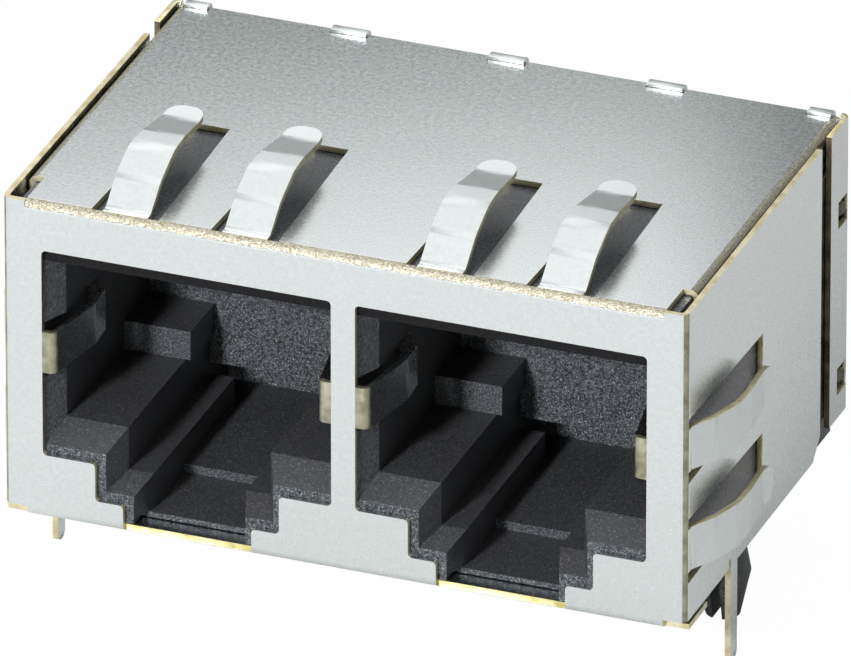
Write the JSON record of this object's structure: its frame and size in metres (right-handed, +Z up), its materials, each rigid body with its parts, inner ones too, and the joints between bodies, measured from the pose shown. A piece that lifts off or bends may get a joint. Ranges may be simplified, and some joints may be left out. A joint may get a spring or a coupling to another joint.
{
  "type": "circuit board connector",
  "caption": "Side-by-side modular plug sockets in a folded metal shield with contact springs, for a circuit board, with locating pegs and solder pins.",
  "frame": {"origin": "on the board face, midway between the two locating pegs", "axes": "+X across the ports to the right as seen from the mating face, +Y back from the mating face, +Z up from the board"},
  "size_m": [0.0326, 0.0197, 0.0206],
  "materials": {
    "plated_shield": "satin plated sheet",
    "black_plastic": "moulded, matte",
    "contact_wire": "plated spring wire"
  },
  "bodies": {
    "root": {"front_shield": "plated_shield", "rear_shield": "plated_shield", "housing": "black_plastic", "left_contact_carrier": "black_plastic", "right_contact_carrier": "black_plastic", "left_contact_1": "contact_wire", "left_contact_2": "contact_wire", "left_contact_3": "contact_wire", "left_contact_4": "contact_wire", "left_contact_5": "contact_wire", "left_contact_6": "contact_wire", "left_contact_7": "contact_wire", "left_contact_8": "contact_wire", "right_contact_1": "contact_wire", "right_contact_2": "contact_wire", "right_contact_3": "contact_wire", "right_contact_4": "contact_wire", "right_contact_5": "contact_wire", "right_contact_6": "contact_wire", "right_contact_7": "contact_wire", "right_contact_8": "contact_wire"}
  },
  "joints": []
}
